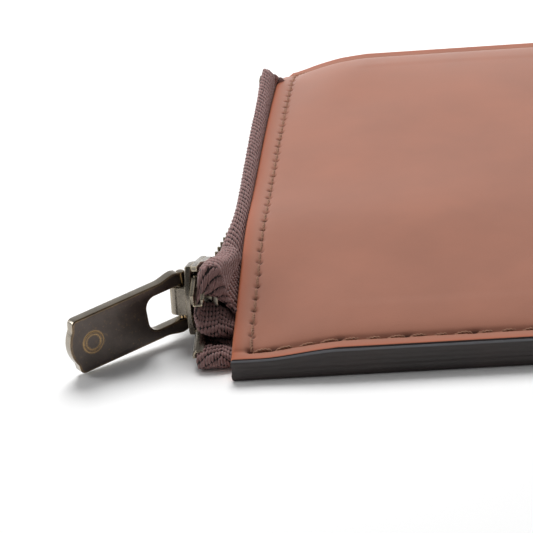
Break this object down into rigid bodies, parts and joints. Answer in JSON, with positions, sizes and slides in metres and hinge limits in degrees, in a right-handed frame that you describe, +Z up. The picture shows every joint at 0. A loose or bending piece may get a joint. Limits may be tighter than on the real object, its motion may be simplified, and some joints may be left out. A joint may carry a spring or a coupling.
{
  "type": "zippered pouch",
  "caption": "Small flat leather pouch, sewn round three sides over a welt, with a metal zip along the fourth edge, an auto-lock slider and a flat slotted pull tab.",
  "frame": {"origin": "centre of the back panel's flat underside, on which the pouch rests", "axes": "+X from the zip edge across the pouch to its far side, +Y along the zip from the closed end to the bottom stop, +Z up through the pouch's thickness"},
  "size_m": [0.1069, 0.108, 0.0116],
  "materials": {
    "back_leather": "smooth leather, dark painted cut edge",
    "front_leather": "smooth tan-brown leather, dark painted cut edge",
    "lining": "plain woven dark lining",
    "welt_leather": "leather strip, dark painted cut edge",
    "zip_tape": "woven mauve-brown tape",
    "zip_teeth": "antique brass",
    "zip_stops": "antique brass",
    "slider_brass": "antique brass, polished on raised edges",
    "pawl_steel": "plain steel",
    "pull_brass": "antique brass, dark faces and rubbed golden edges",
    "thread": "twisted polyester thread"
  },
  "bodies": {
    "pouch": {"back_panel": "back_leather", "front_panel": "front_leather", "back_lining": "lining", "front_lining": "lining", "seam_welt": "welt_leather", "upper_tape": "zip_tape", "lower_tape": "zip_tape", "upper_teeth": "zip_teeth", "lower_teeth": "zip_teeth", "upper_top_stop": "zip_stops", "lower_top_stop": "zip_stops", "bottom_stop": "zip_stops", "front_zip_stitches": "thread", "back_zip_stitches": "thread", "near_stitches": "thread", "far_stitches": "thread", "side_stitches": "thread", "back_seam_stitches": "thread"},
    "slider": {"slider_body": "slider_brass", "slider_crown": "slider_brass"},
    "pawl": {"lock_pawl": "pawl_steel"},
    "pull": {"pull_tab": "pull_brass"}
  },
  "joints": [
    {"name": "zip_slide", "type": "slide", "parent": "pouch", "child": "slider", "axis": [0.009, 1, 0], "range_m": [0, 0.067], "deforming": ["upper_tape", "lower_tape", "upper_teeth", "lower_teeth"]},
    {"name": "pull_swing", "type": "hinge", "parent": "slider", "child": "pull", "pos_m": [-0.04958, -0.03893, 0.00575], "axis": [0, 0, 1], "range_deg": [-125, 42]},
    {"name": "pawl_lift", "type": "slide", "parent": "slider", "child": "pawl", "axis": [-0.9945, 0.1045, 0], "range_m": [0, 0.0004], "stiffness_N_per_m": 100}
  ]
}
